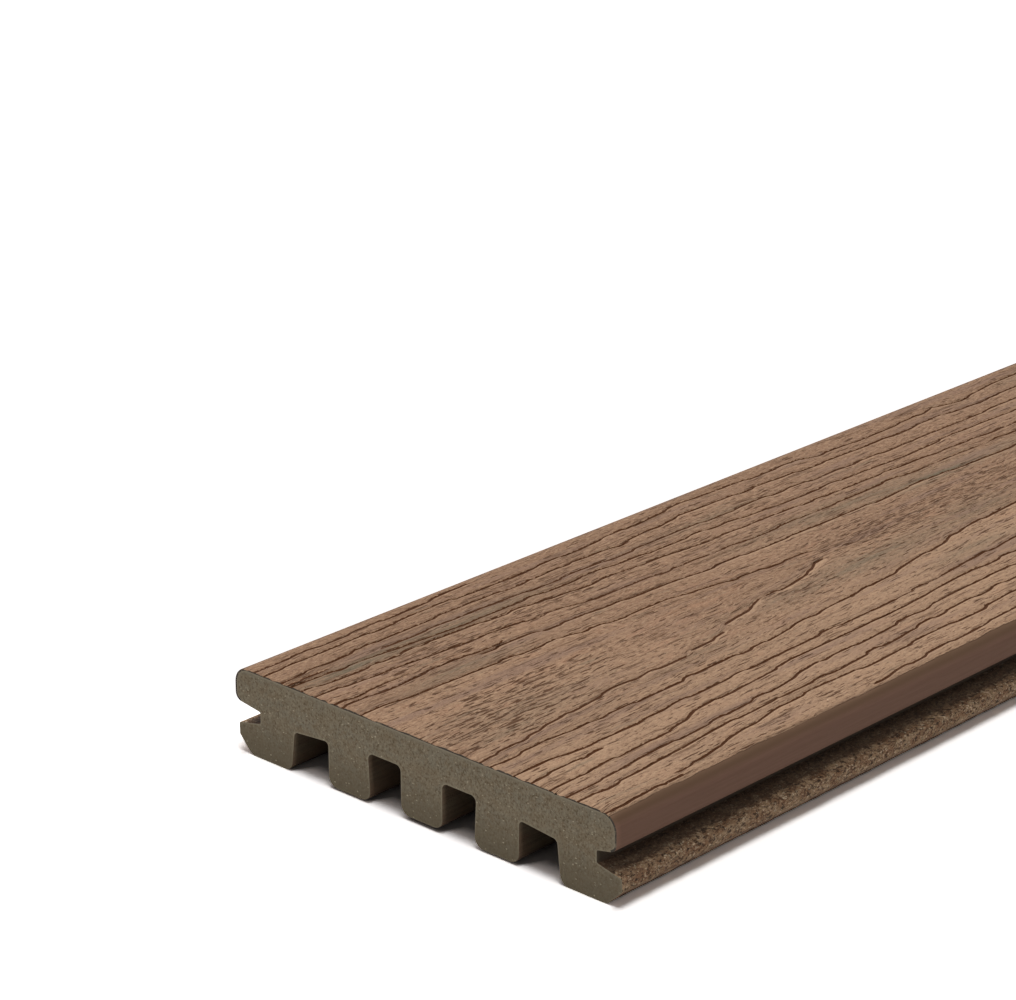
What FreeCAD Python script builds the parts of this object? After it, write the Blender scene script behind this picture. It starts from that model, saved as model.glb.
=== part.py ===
import FreeCAD, Part
import math
import os

# A composite decking board with a grooved edge on each side.
# X runs across the board, Y along it and Z up, with the outer ribs standing on z = 0.
# The origin is under the middle of the board. All sizes are in mm.

# Overall size
board_length = 2438.4
board_thickness = 25.4
top_width = 139.7

# Brown skin moulded over the top and the upper lips
cap_thickness = 0.6

# Upper lips
top_edge_radius = 5.0
lip_lower_radius = 2.4
lip_underside_height = 15.3

# Everything below the upper lips sits a little to the right of the top face
lower_body_shift = 1.6

# Clip grooves, as half widths from the middle of the lower body
groove_floor_half = 61.65
groove_roof_height = 13.9
groove_sill_height = 10.4
groove_corner_radius = 0.6

# Lower lips and the big bevel under each
lower_lip_half = 70.4
lower_lip_top_height = 8.6
lower_lip_bottom_height = 5.0
lower_lip_radius = 0.7
bevel_width = 4.9
bevel_end_radius = 2.5

# Outer channels, whose ceilings rise towards the middle of the board
outer_channel_far_top = 48.2
outer_channel_far_bottom = 49.6
outer_channel_near = 35.0
outer_ceiling_far = 12.2
outer_ceiling_near = 13.4
outer_ceiling_radius = 1.4

# Inner channels
inner_channel_far_top = 19.9
inner_channel_far_bottom = 19.1
inner_channel_near = 7.6
inner_ceiling_height = 15.0
inner_ceiling_radius = 1.8

# Rib feet: the inner ribs stop a little short of the floor
rib_foot_radius = 3.0
second_rib_lift = 0.6
middle_rib_lift = 1.2


def vec(x, z):
    """Give a point of the section, on the plane y = 0."""
    return FreeCAD.Vector(x, 0, z)


def round_corner(before, corner, after, radius):
    """Give the start, middle, end and centre of the arc that rounds a corner."""
    to_before = (before - corner).normalize()
    to_after = (after - corner).normalize()
    half_angle = to_before.getAngle(to_after) / 2
    reach = radius / math.tan(half_angle)
    bisector = (to_before + to_after).normalize()
    centre = corner + bisector * (radius / math.sin(half_angle))
    middle = centre - bisector * radius
    return corner + to_before * reach, middle, corner + to_after * reach, centre


def shrink_arc(arc, amount):
    """Give the same arc drawn about its own centre with a smaller radius."""
    start, middle, end, centre = arc
    points = []
    for point in (start, middle, end):
        spoke = point - centre
        points.append(centre + spoke * ((spoke.Length - amount) / spoke.Length))
    return points[0], points[1], points[2], centre


def turned(arc):
    """Give the same arc walked from its end to its start."""
    return arc[2], arc[1], arc[0], arc[3]


def outline(steps):
    """Join arcs and single points in order, with straight lines between them."""
    edges = []
    for index, step in enumerate(steps):
        following = steps[(index + 1) % len(steps)]
        if len(step) > 1:
            edges.append(Part.Arc(step[0], step[1], step[2]).toShape())
            edges.append(Part.makeLine(step[2], following[0]))
        else:
            edges.append(Part.makeLine(step[0], following[0]))
    return Part.Wire(edges)


def extruded(section):
    """Extrude a section along the whole board, centred on y = 0."""
    solid = Part.Face(section).extrude(FreeCAD.Vector(0, board_length, 0))
    solid.translate(FreeCAD.Vector(centre_shift, -board_length / 2, 0))
    return solid


# The origin is under the middle of the widest part, left upper lip to right lower lip
half_top = top_width / 2
right_reach = lower_body_shift + lower_lip_half
centre_shift = (half_top - right_reach) / 2

# Lower body corners from the right groove to the middle rib: distance, height, radius
half_underside = [
    (groove_floor_half, groove_roof_height, groove_corner_radius),
    (groove_floor_half, groove_sill_height, groove_corner_radius),
    (lower_lip_half, lower_lip_top_height, lower_lip_radius),
    (lower_lip_half, lower_lip_bottom_height, lower_lip_radius),
    (lower_lip_half - bevel_width, 0, bevel_end_radius),
    (outer_channel_far_bottom, 0, rib_foot_radius),
    (outer_channel_far_top, outer_ceiling_far, outer_ceiling_radius),
    (outer_channel_near, outer_ceiling_near, outer_ceiling_radius),
    (outer_channel_near, second_rib_lift, rib_foot_radius),
    (inner_channel_far_bottom, second_rib_lift, rib_foot_radius),
    (inner_channel_far_top, inner_ceiling_height, inner_ceiling_radius),
    (inner_channel_near, inner_ceiling_height, inner_ceiling_radius),
    (inner_channel_near, middle_rib_lift, rib_foot_radius),
]

# Corners walked from the right groove, under the board, to the left groove
underside = []
for distance, height, radius in half_underside:
    underside.append((vec(lower_body_shift + distance, height), radius))
for distance, height, radius in reversed(half_underside):
    underside.append((vec(lower_body_shift - distance, height), radius))

# Corners of the top half: lower lip corner and top edge on each side
left_lip = vec(-half_top, lip_underside_height)
left_top = vec(-half_top, board_thickness)
right_top = vec(half_top, board_thickness)
right_lip = vec(half_top, lip_underside_height)

# Arcs of the skin's outside, walked from the left lip over the top to the right lip
skin_arcs = [
    round_corner(underside[-1][0], left_lip, left_top, lip_lower_radius),
    round_corner(left_lip, left_top, right_top, top_edge_radius),
    round_corner(left_top, right_top, right_lip, top_edge_radius),
    round_corner(right_top, right_lip, underside[0][0], lip_lower_radius),
]

# The same walk on the inside of the skin, where the core begins
core_arcs = [shrink_arc(arc, cap_thickness) for arc in skin_arcs]

# Cap: out along the skin's outside and back along its inside
cap = extruded(outline(skin_arcs + [turned(arc) for arc in reversed(core_arcs)]))

# Rounded corners of the grooves, lower lips, ribs and channels
corner_points = [right_lip] + [point for point, radius in underside] + [left_lip]
underside_arcs = []
for index, (corner, radius) in enumerate(underside):
    arc = round_corner(corner_points[index], corner, corner_points[index + 2], radius)
    underside_arcs.append(arc)

# Core: over the top inside the skin, out past the skin's end, then all round below
right_skin_end = [skin_arcs[-1][2]]
left_skin_end = [skin_arcs[0][0]]
core = extruded(outline(core_arcs + [right_skin_end] + underside_arcs + [left_skin_end]))

# Each piece goes to its own file
os.makedirs("parts", exist_ok=True)
core.exportStep("parts/core.step")
cap.exportStep("parts/cap.step")
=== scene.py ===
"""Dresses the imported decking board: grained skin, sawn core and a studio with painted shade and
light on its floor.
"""

import logging
import math
from dataclasses import dataclass, field
from enum import Enum

import bmesh
import bpy
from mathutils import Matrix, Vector, noise

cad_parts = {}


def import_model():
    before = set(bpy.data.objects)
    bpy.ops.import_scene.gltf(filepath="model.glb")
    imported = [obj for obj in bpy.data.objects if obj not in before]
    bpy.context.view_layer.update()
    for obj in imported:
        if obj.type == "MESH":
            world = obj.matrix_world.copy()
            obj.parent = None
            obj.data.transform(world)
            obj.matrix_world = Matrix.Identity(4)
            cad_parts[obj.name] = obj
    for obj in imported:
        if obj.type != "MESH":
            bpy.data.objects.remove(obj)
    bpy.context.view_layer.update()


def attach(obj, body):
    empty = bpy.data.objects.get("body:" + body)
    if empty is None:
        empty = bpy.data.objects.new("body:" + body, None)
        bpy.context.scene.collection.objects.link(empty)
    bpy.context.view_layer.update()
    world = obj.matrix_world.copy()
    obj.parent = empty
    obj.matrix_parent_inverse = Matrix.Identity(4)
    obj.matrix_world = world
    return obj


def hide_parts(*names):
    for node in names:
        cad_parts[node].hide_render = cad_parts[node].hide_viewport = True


MM = 0.001
UV_MM = 100.0
NOISE_LEVEL = 11.7
CORNER_STEPS = 6
CHIP_SWAY = (0.9, 0.9, 0.9)
GRAIN_MAP = "grain"
LOG = logging.getLogger("decking_board")

Socket = bpy.types.NodeSocket
Material = bpy.types.Material
Piece = bpy.types.Object
Mesh = bmesh.types.BMesh
Face = bmesh.types.BMFace
Triple = tuple[float, float, float]
Point = tuple[float, float]
Number = Socket | float
Paint = Socket | Triple


def srgb(red: int, green: int, blue: int) -> Triple:
    """Turns a colour as the eye reads it into Blender's linear one.

    Args:
        red: Red, 0 to 255.
        green: Green, 0 to 255.
        blue: Blue, 0 to 255.

    Returns:
        The linear colour.
    """
    linear = []
    for part in (red, green, blue):
        value = part / 255
        linear.append(value / 12.92 if value <= 0.04045 else ((value + 0.055) / 1.055) ** 2.4)
    return linear[0], linear[1], linear[2]


def smooth_step(low: float, high: float, value: float) -> float:
    """Rises smoothly from 0 at low to 1 at high."""
    share = min(1.0, max(0.0, (value - low) / (high - low)))
    return share * share * (3 - 2 * share)


def wander(line: float, along: float) -> float:
    """Gives smooth noise, about -1 to 1, that depends on two plain numbers."""
    return noise.noise(Vector((line, along, NOISE_LEVEL)))


@dataclass(frozen=True)
class BoardSection:
    """The board's section in millimetres, as it is in the part.

    X is measured from the middle of the top face until placed() moves it.
    """

    length: float = 2438.4
    thickness: float = 25.4
    top_width: float = 139.7
    skin: float = 0.6
    top_radius: float = 5.0
    lip_radius: float = 2.4
    lip_underside: float = 15.3
    body_shift: float = 1.6
    groove_half: float = 61.65
    groove_roof: float = 13.9
    groove_sill: float = 10.4
    groove_radius: float = 0.6
    lower_lip_half: float = 70.4
    lower_lip_top: float = 8.6
    lower_lip_bottom: float = 5.0
    lower_lip_radius: float = 0.7
    bevel_width: float = 4.9
    bevel_radius: float = 2.5
    outer_far_top: float = 48.2
    outer_far_bottom: float = 49.6
    outer_near: float = 35.0
    outer_ceiling_far: float = 12.2
    outer_ceiling_near: float = 13.4
    outer_radius: float = 1.4
    inner_far_top: float = 19.9
    inner_far_bottom: float = 19.1
    inner_near: float = 7.6
    inner_ceiling: float = 15.0
    inner_radius: float = 1.8
    foot_radius: float = 3.0
    second_lift: float = 0.6
    middle_lift: float = 1.2

    @property
    def half_top(self) -> float:
        """Half the width of the top face."""
        return self.top_width / 2

    @property
    def half_flat(self) -> float:
        """Half the width between the two rounded top edges."""
        return self.half_top - self.top_radius

    @property
    def centre_shift(self) -> float:
        """How far the origin lies from the middle of the top face."""
        return (self.half_top - self.body_shift - self.lower_lip_half) / 2

    def placed(self, across: float, along: float, height: float) -> Vector:
        """Turns millimetres from the top's middle, front end and floor into the frame's metres."""
        x = (across + self.centre_shift) * MM
        return Vector((x, (along - self.length / 2) * MM, height * MM))

    def underside_slope(self, side: int) -> float:
        """Angle of an upper lip's underside below the horizontal, on side -1 or 1."""
        reach = self.half_top - side * self.body_shift - self.groove_half
        return math.atan((self.lip_underside - self.groove_roof) / reach)

    def lip_reach(self, side: int, radius: float) -> float:
        """Distance from a lip's lower corner to where its rounding begins."""
        return radius / math.tan((math.pi / 2 + self.underside_slope(side)) / 2)

    def underside_corners(self) -> list[Triple]:
        """Lists the corners of grooves, lips, ribs and channels, from right to left.

        Returns:
            Distance across, height and radius of each corner.
        """
        half = [
            (self.groove_half, self.groove_roof, self.groove_radius),
            (self.groove_half, self.groove_sill, self.groove_radius),
            (self.lower_lip_half, self.lower_lip_top, self.lower_lip_radius),
            (self.lower_lip_half, self.lower_lip_bottom, self.lower_lip_radius),
            (self.lower_lip_half - self.bevel_width, 0.0, self.bevel_radius),
            (self.outer_far_bottom, 0.0, self.foot_radius),
            (self.outer_far_top, self.outer_ceiling_far, self.outer_radius),
            (self.outer_near, self.outer_ceiling_near, self.outer_radius),
            (self.outer_near, self.second_lift, self.foot_radius),
            (self.inner_far_bottom, self.second_lift, self.foot_radius),
            (self.inner_far_top, self.inner_ceiling, self.inner_radius),
            (self.inner_near, self.inner_ceiling, self.inner_radius),
            (self.inner_near, self.middle_lift, self.foot_radius),
        ]
        right = [(self.body_shift + across, height, radius) for across, height, radius in half]
        left = [(self.body_shift - across, height, radius) for across, height, radius in half]
        return right + left[::-1]


@dataclass(frozen=True)
class SkinPath:
    """Walks the outside of the skin by distance from the middle of the top."""

    section: BoardSection

    def lengths(self, side: int) -> tuple[float, float, float, float]:
        """Measures the walk down one side.

        Args:
            side: -1 for the left side and 1 for the right one.

        Returns:
            Distances at which the flat, the top round, the side and the lip round end.
        """
        board = self.section
        flat = board.half_flat
        round_end = flat + board.top_radius * math.pi / 2
        reach = board.lip_reach(side, board.lip_radius)
        side_end = round_end + board.thickness - board.top_radius - board.lip_underside - reach
        sweep = math.pi / 2 - board.underside_slope(side)
        return flat, round_end, side_end, side_end + board.lip_radius * sweep

    def point(self, distance: float, depth: float) -> Point:
        """Gives a place on the section.

        Args:
            distance: Distance along the skin's outside, negative to the left.
            depth: How far under the outside the place lies.

        Returns:
            Its distance across and its height.
        """
        board = self.section
        side = -1 if distance < 0 else 1
        walked = abs(distance)
        flat, round_end, side_end, lip_end = self.lengths(side)
        if walked <= flat:
            return distance, board.thickness - depth
        side_top = board.thickness - board.top_radius
        if walked <= round_end:
            angle = (walked - flat) / board.top_radius
            radius = board.top_radius - depth
            return side * (flat + radius * math.sin(angle)), side_top + radius * math.cos(angle)
        if walked <= side_end:
            return side * (board.half_top - depth), side_top - (walked - round_end)
        angle = (min(walked, lip_end) - side_end) / board.lip_radius
        radius = board.lip_radius - depth
        across = board.half_top - board.lip_radius + radius * math.cos(angle)
        return side * across, side_top - (side_end - round_end) - radius * math.sin(angle)


@dataclass(frozen=True)
class GrainLine:
    """One long groove of the grain.

    Stops are (distance from the front end, distance across) in millimetres. Gaps are the
    stretches, from one distance to another, where the groove fades away.
    """

    stops: tuple[Point, ...]
    gaps: tuple[Point, ...] = ()
    depth: float = 0.5
    fade: float = 2.5

    def across(self, along: float) -> float:
        """Finds the groove's place.

        Args:
            along: Distance from the front end.

        Returns:
            Distance across.
        """
        before = self.stops[0]
        for after in self.stops[1:]:
            if along <= after[0]:
                share = (along - before[0]) / (after[0] - before[0])
                return before[1] + (after[1] - before[1]) * max(0.0, share)
            before = after
        return before[1]

    def strength(self, along: float) -> float:
        """Finds how much of the groove is there.

        Args:
            along: Distance from the front end.

        Returns:
            Share of the full depth.
        """
        kept = 1.0
        for start, end in self.gaps:
            begun = smooth_step(start - self.fade, start, along)
            kept *= 1 - begun * (1 - smooth_step(end, end + self.fade, along))
        return kept


FADED = ((-20.0, 400.0),)

# For each line: its stops, its gaps if it has any, and its depth if it isn't the usual one
GRAIN_LINES = tuple(GrainLine(*line) for line in (
    (((0, -62.4), (40, -62.5), (60, -63), (85, -63.9), (130, -64.2), (350, -63.8)), ((88, 400),),
     0.3),
    (((0, -58.8), (20, -58.4), (60, -59.3), (100, -58.7), (125, -59), (135, -59.6), (157, -60.6),
     (172, -61.5), (178, -62.3), (184, -61.6), (210, -60.6), (235, -60), (242, -58.1),
     (257, -57.5), (300, -58.1), (305, -59.5), (317, -57.1), (337, -59), (350, -60.2)),),
    (((0, -51.8), (20, -52.4), (40, -53.3), (60, -53.5), (100, -53), (112, -54), (127, -52.8),
     (140, -52.4), (160, -54.4), (170, -55.6), (180, -54.9), (204, -54.4), (235, -53.1),
     (257, -52.1), (288, -52.5), (300, -52.9), (305, -51.5), (315, -51.1), (350, -52)),),
    (((0, -49.3), (12, -48.7), (25, -49), (40, -48.9), (60, -48.4), (100, -47.5), (128, -46.9),
     (160, -46.8), (200, -46.4), (225, -45.4), (235, -45.8), (250, -44.8), (287, -45),
     (350, -44.4)), ((16, 34),), 0.4),
    (((0, -47.3), (20, -46.5), (32, -45.8), (40, -45), (52, -44.2), (97, -44), (107, -43.5),
     (120, -43.5), (127, -42.3), (160, -41.9), (172, -41.3), (187, -40.4), (202, -39.4),
     (235, -39), (262, -37.9), (287, -38.6), (312, -37.8), (350, -37.5)),),
    (((0, -43.2), (12, -42.3), (45, -42.1), (60, -41.5), (90, -40.4), (95, -38.6), (120, -37.9),
     (127, -37.3), (140, -37.5), (160, -35.4), (202, -34.1), (235, -33.5), (252, -32.5),
     (275, -31.6), (282, -32.1), (297, -30.4), (350, -29.5)),),
    (((0, -37.9), (12, -37.5), (35, -36), (60, -34.4), (86, -32.3), (97, -31.3), (102, -30),
     (120, -29.6), (126, -29.8), (135, -28.3), (155, -27.8), (161, -28.7), (172, -27.1),
     (210, -27.5), (235, -27.9), (265, -26.4), (285, -25.4), (295, -26.3), (350, -26)),),
    (((0, -30.4), (14, -30.4), (28, -31.4), (60, -31.2), (90, -28.7), (120, -26.6), (350, -23.9)),
     ((30, 400),)),
    (((0, -28), (20, -27.5), (32, -28.3), (60, -27.5), (64, -28.4), (90, -26.4), (120, -24.9),
     (350, -22.2)), ((64, 400),)),
    (((0, -24.6), (50, -25.9), (72, -25.6), (77, -24.5), (90, -23.9), (104, -23.6), (106, -24.1),
     (110, -22.9), (127, -22.5), (142, -20.8), (175, -20), (187, -19.4), (222, -18.9),
     (235, -19.8), (262, -19), (290, -18), (350, -17.8)), ((-20, 50),)),
    (((0, -21.1), (10, -21.3), (17, -20), (42, -19.1), (60, -18), (70, -17.5), (77, -17.8),
     (82, -16.1), (92, -15.3), (100, -14.4), (120, -14), (132, -11.3), (142, -10), (162, -8.4),
     (176, -7.8), (350, -11)), ((177, 400),)),
    (((0, -14), (100, -9.5), (175, -5.6), (350, -6)), FADED),
    (((0, -3), (100, -2), (175, -3.6), (350, -1)), FADED),
    (((0, 10), (60, 8), (110, 6.5), (155, 0.2), (175, -2.8), (240, 2), (350, 4)), FADED),
    (((0, 22.3), (14, 22), (19, 21.2), (21, 20.3), (26, 20.1), (28, 19.2), (40, 18.3), (50, 17.5),
     (60, 16.4), (67, 16.9), (75, 15.4), (78, 16.5), (90, 16.4), (92, 14.7), (103, 14.4),
     (110.5, 13.5), (112.5, 10.6), (120, 9.2), (126.5, 8.7), (131, 6.7), (136, 4.9), (138, 5.3),
     (151, 4.3), (164, 1.9), (168, -0.3), (176, -1.4), (240, 6), (350, 8)), ((91, 91.5),
     (111, 112), (136.5, 137), (175, 400)), 0.32),
    (((0, 26.9), (22, 26.2), (32, 27.1), (76, 26.5), (79, 25.9), (82, 26.5), (110, 26.1),
     (125, 24.6), (132, 24), (157, 22.9), (167, 21.5), (177, 21), (197, 18.1), (207, 16.9),
     (215, 15), (235, 13.3), (247, 12.3), (350, 12)),),
    (((0, 31), (60, 31.2), (120, 29.8), (180, 26.9), (230, 21.5), (350, 19)), FADED),
    (((0, 35), (12, 35), (27, 35.8), (57, 35.9), (65, 35), (100, 34.3), (120, 33.8), (160, 33.3),
     (180, 32.8), (205, 31), (230, 29), (350, 26.5)),),
    (((0, 40.4), (29, 40.1), (60, 38.6), (120, 36.5), (230, 32.5), (350, 30.5)), ((30, 400),)),
    (((0, 47.5), (10, 47.3), (32, 45.9), (50, 45.3), (57, 44.4), (62, 42.3), (74, 41.3),
     (100, 40), (107, 39.3), (127, 39.3), (160, 39), (177, 37.5), (187, 36.9), (260, 35.5),
     (350, 35)),),
    (((0, 52.5), (20, 52.4), (30, 51.3), (60, 49.9), (90, 48.1), (110, 45.9), (125, 45.9),
     (152, 44.4), (185, 42.9), (250, 42), (350, 41)),),
    (((0, 57.1), (20, 56.5), (45, 55), (66, 53.3), (80, 52.8), (110, 52.6), (140, 51), (152, 50),
     (197, 48.4), (250, 48), (350, 47)),),
    (((0, 63.2), (32, 63.4), (42, 62.9), (50, 61.8), (57, 60), (67, 58.8), (79, 56.3),
     (104, 56.5), (120, 57.1), (135, 56.3), (172, 56), (190, 55), (350, 54)), ((-20, 28),)),
    (((0, 66.5), (17, 66), (27, 65.1), (60, 65.3), (95, 66.6), (115, 66.3), (122, 65),
     (152, 63.5), (179, 62.6), (350, 61)), ((32, 108),), 0.35),
))


@dataclass(frozen=True)
class SoftPatch:
    """A soft-edged oval on the top face, in millimetres."""

    along: float
    across: float
    half_length: float
    half_width: float
    strength: float

    def value(self, along: float, across: float) -> float:
        """Strength of the patch at a place."""
        ahead, aside = (along - self.along) / self.half_length, across - self.across
        return self.strength * math.exp(-(ahead**2 + (aside / self.half_width) ** 2))


TICK_PATCHES = tuple(SoftPatch(*patch) for patch in (
    (20, 8, 34, 13, 1.0), (52, -4, 26, 10, 0.7), (62, -22, 10, 4, 0.6), (92, 4, 26, 8, 0.35),
    (195, -4, 28, 9, 0.8), (150, 9, 22, 7, 0.5), (255, -6, 36, 11, 0.6), (95, 62, 20, 3, 0.5),
    (30, -30, 30, 4, 0.35), (95, -36, 40, 5, 0.3), (44, -36, 22, 6, 0.5), (78, -55, 34, 6, 0.4),
    (22, -14, 12, 5, 0.7), (62, 23, 12, 5, 0.35), (38, 31, 12, 4, 0.3), (150, -42, 130, 18, 0.28),
    (250, 4, 80, 22, 0.3), (84, 21, 26, 5, 0.35), (70, 31, 70, 5, 0.22), (70, 60, 70, 7, 0.18),
))

GREY_PATCHES = tuple(SoftPatch(*patch) for patch in (
    (55, -46, 42, 3.5, 0.85), (15, -44.5, 18, 2.5, 0.7), (42, -22.5, 24, 4.0, 0.6),
    (180, 9, 55, 5.0, 0.75), (30, 9, 32, 10.0, 0.42), (212, 26, 22, 3.0, 0.6),
    (205, -25, 40, 4.0, 0.7), (262, -20, 42, 3.0, 0.95), (172, -47, 30, 2.0, 0.5),
    (85, 19, 26, 3.5, 0.35), (243, 5, 18, 5.0, 0.45),
))


@dataclass(frozen=True)
class Wave:
    """A smooth swing along the grain lines: its size, its length and where it starts.

    Spread sets the lines apart from each other. Softness, where it isn't 0, turns the swing
    into steps from one side to the other.
    """

    size: float
    length: float
    spread: float = 1.0
    start: float = 0.0
    softness: float = 0.0

    def value(self, line: float, along: float) -> float:
        """Works out the swing.

        Args:
            line: The line's own number.
            along: Distance from the front end.

        Returns:
            The swing at that place.
        """
        swing = wander(line * self.spread + self.start, along / self.length)
        if self.softness:
            swing = smooth_step(-self.softness, self.softness, swing) - 0.5
        return self.size * swing


@dataclass(frozen=True)
class Grain:
    """The embossed pattern over the whole top: drawn lines first, seeded ones after."""

    drawn_to: float = 345.0
    blend: float = 70.0
    patch_blend: float = 60.0
    lines: tuple[GrainLine, ...] = GRAIN_LINES
    edge: float = 63.5
    taper_edge: float = 71.5
    near_waves: tuple[Wave, ...] = (
        Wave(0.1, 11, 2.9), Wave(0.2, 4.2, 6.1), Wave(0.75, 12, 4.4, 3, 0.05),
    )
    far_flow: tuple[Wave, ...] = (Wave(5.5, 210, 1 / 42), Wave(1.8, 95, 1 / 16, 9))
    far_waves: tuple[Wave, ...] = (Wave(0.5, 16, 3.7, 40), Wave(1.0, 24, 4.4, 40, 0.12))
    far_presence: Wave = Wave(1.0, 85, 5.3, 70)
    presence_edge: Point = (-0.05, 0.08)
    rarest: float = -0.42
    crowding: float = 0.55
    crowded: Point = (0.05, 0.5)
    clouds: tuple[Triple, ...] = ((1.0, 9.0, 70.0), (0.35, 4.0, 30.0))
    cloud_edge: Point = (0.12, 0.6)
    mean_depth: float = 0.86
    depth_wave: Wave = Wave(0.3, 11, 1.7, 20)

    def far_across(self, index: int, along: float) -> float:
        """Finds a line's place beyond the drawn stretch.

        Args:
            index: The line's number.
            along: Distance from the front end.

        Returns:
            Distance across.
        """
        even = -self.edge + 2 * self.edge * index / (len(self.lines) - 1)
        taper = 1 - (even / self.taper_edge) ** 4
        flow = sum(wave.value(even, along) for wave in self.far_flow)
        return even + taper * flow + sum(wave.value(index, along) for wave in self.far_waves)

    def far_strength(self, index: int, along: float) -> float:
        """Finds a line's depth beyond the drawn stretch: lines are rarer in the middle.

        Args:
            index: The line's number.
            along: Distance from the front end.

        Returns:
            Share of the full depth.
        """
        inward = 1 - abs(2 * index / (len(self.lines) - 1) - 1)
        wanted = self.rarest + self.crowding * smooth_step(*self.crowded, inward)
        low, high = (wanted + part for part in self.presence_edge)
        return smooth_step(low, high, self.far_presence.value(index, along))

    def across(self, index: int, along: float) -> float:
        """Finds a line's place.

        Args:
            index: The line's number.
            along: Distance from the front end.

        Returns:
            Distance across.
        """
        far = smooth_step(self.drawn_to, self.drawn_to + self.blend, along)
        swing = sum(wave.value(index, along) for wave in self.near_waves)
        drawn = self.lines[index].across(along) + swing
        return drawn * (1 - far) + self.far_across(index, along) * far

    def strength(self, index: int, along: float) -> float:
        """Finds a line's depth.

        Args:
            index: The line's number.
            along: Distance from the front end.

        Returns:
            Share of the full depth.
        """
        far = smooth_step(self.drawn_to, self.drawn_to + self.blend, along)
        drawn = self.lines[index].strength(along)
        mixed = drawn * (1 - far) + self.far_strength(index, along) * far
        return mixed * (self.mean_depth + self.depth_wave.value(index, along))

    def patchwork(
        self, patches: tuple[SoftPatch, ...], seed: float, along: float, across: float
    ) -> float:
        """Adds drawn patches near the front end to seeded ones beyond.

        Args:
            patches: The drawn patches.
            seed: A number that sets the seeded patches apart from others.
            along: Distance from the front end.
            across: Distance across.

        Returns:
            Strength, 0 to 1.
        """
        far = smooth_step(self.drawn_to - self.patch_blend, self.drawn_to + self.blend, along)
        drawn = sum(patch.value(along, across) for patch in patches)
        (broad, broad_width, broad_length), (fine, fine_width, fine_length) = self.clouds
        cloud = broad * wander(across / broad_width + seed, along / broad_length + seed)
        cloud += fine * wander(across / fine_width + seed, along / fine_length)
        return min(1.0, drawn * (1 - far) + smooth_step(*self.cloud_edge, cloud) * far)


class Spot(Enum):
    """What a column of the skin's mesh does."""

    PLAIN = "plain"
    SHOULDER = "shoulder"
    BED = "bed"


@dataclass(frozen=True)
class Column:
    """A column of the skin's mesh, fixed on the section or tied to grain lines.

    A tied column lies share of the way from line first to line second, plus offset.
    """

    spot: Spot
    place: float = 0.0
    first: int = -1
    second: int = -1
    share: float = 0.0
    offset: float = 0.0


def rounded_section(mesh: Mesh, corners: list[Triple], board: BoardSection) -> Face:
    """Draws one flat face with rounded corners at the front end.

    Args:
        mesh: The mesh to draw in.
        corners: Distance across, height and radius of each corner, in order.
        board: The board's section.

    Returns:
        The face.
    """
    points = [mesh.verts.new(board.placed(across, 0, height)) for across, height, _ in corners]
    mesh.faces.new(points)
    reaches = []
    for index, point in enumerate(points):
        to_before = (points[index - 1].co - point.co).normalized()
        to_after = (points[(index + 1) % len(points)].co - point.co).normalized()
        half_angle = to_before.angle(to_after) / 2
        reaches.append(corners[index][2] * MM / math.tan(half_angle))
    for point, reach in zip(points, reaches):
        if reach:
            bmesh.ops.bevel(
                mesh, geom=[point], offset=reach, offset_type="OFFSET", affect="VERTICES",
                segments=CORNER_STEPS, profile=0.5, material=-1, clamp_overlap=False,
            )
    mesh.faces.ensure_lookup_table()
    return mesh.faces[0]


def finished_object(
    name: str, mesh: Mesh, materials: list[Material], node: str
) -> Piece:
    """Turns a bmesh into a piece that rides on the board and stands for a node.

    Args:
        name: The piece's name.
        mesh: Its mesh, in the frame.
        materials: Its materials, in the order of the faces' indices.
        node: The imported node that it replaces.

    Returns:
        The new object.
    """
    data = bpy.data.meshes.new(name)
    mesh.to_mesh(data)
    mesh.free()
    piece = bpy.data.objects.new(name, data)
    bpy.context.scene.collection.objects.link(piece)
    for material in materials:
        data.materials.append(material)
    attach(piece, "root")
    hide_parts(node)
    LOG.info("%s: %d vertices, %d faces", name, len(data.vertices), len(data.polygons))
    return piece


@dataclass(frozen=True)
class Pattern:
    """A noise pattern.

    Scale says how fast it changes, per millimetre: two numbers lay it across and along the
    skin's grain map, and three lay it on the board's own axes.
    """

    scale: tuple[float, ...]
    octaves: float
    rough: float
    seed: float
    bend: float = 0.0


@dataclass(frozen=True)
class Marks:
    """Dark marks that run with the grain.

    Size is a mark's width and length. Rare and common say how many there are where the
    density is 0 and 1: as a threshold for dashes, and as a share of the cells for nicks.
    """

    size: Point
    rare: float
    common: float
    seed: float


@dataclass(frozen=True)
class Chips:
    """Pale chips: cells per millimetre, share of them with a chip, its size in a cell.

    Least and spread give how strongly a chip shows: the least, and how much more at most.
    """

    cells: float
    share: float
    size: float
    seed: float
    spread: float
    least: float
    flatness: float = 1.5
    least_size: float = 0.6
    core: float = 0.5


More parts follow.
